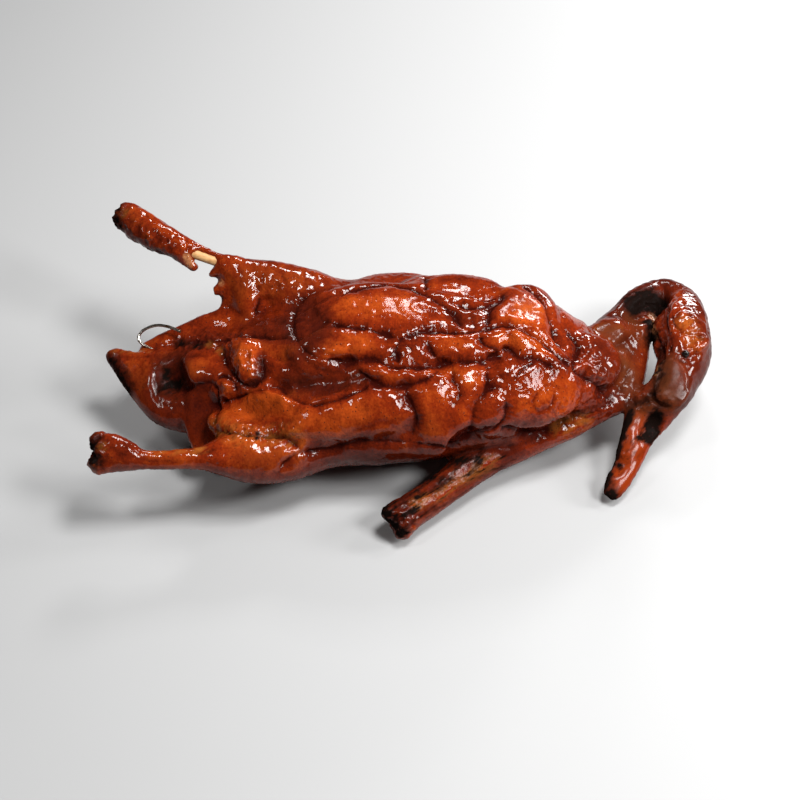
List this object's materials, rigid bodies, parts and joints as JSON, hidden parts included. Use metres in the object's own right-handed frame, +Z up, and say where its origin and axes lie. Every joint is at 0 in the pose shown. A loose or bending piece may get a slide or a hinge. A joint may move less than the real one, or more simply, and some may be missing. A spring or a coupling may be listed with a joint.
{
  "type": "roast duck",
  "caption": "Whole roast duck lying on its back, with glossy creased skin, cut legs and wing stubs, a neck curled round to the head, a bare shin bone and a bent wire pin at the vent.",
  "frame": {"origin": "Under the middle of the duck's bounding box, on the surface that it rests on.", "axes": "+X runs from the tail to the neck, +Y points to the side that the neck bends to, and +Z is up."},
  "size_m": [0.3758, 0.194, 0.1046],
  "materials": {
    "roast_skin": "glossy",
    "bare_bone": "satin",
    "pin_wire": "browned by the oven"
  },
  "bodies": {
    "root": {"duck": "roast_skin", "shin_bone": "bare_bone", "vent_pin": "pin_wire"}
  },
  "joints": []
}
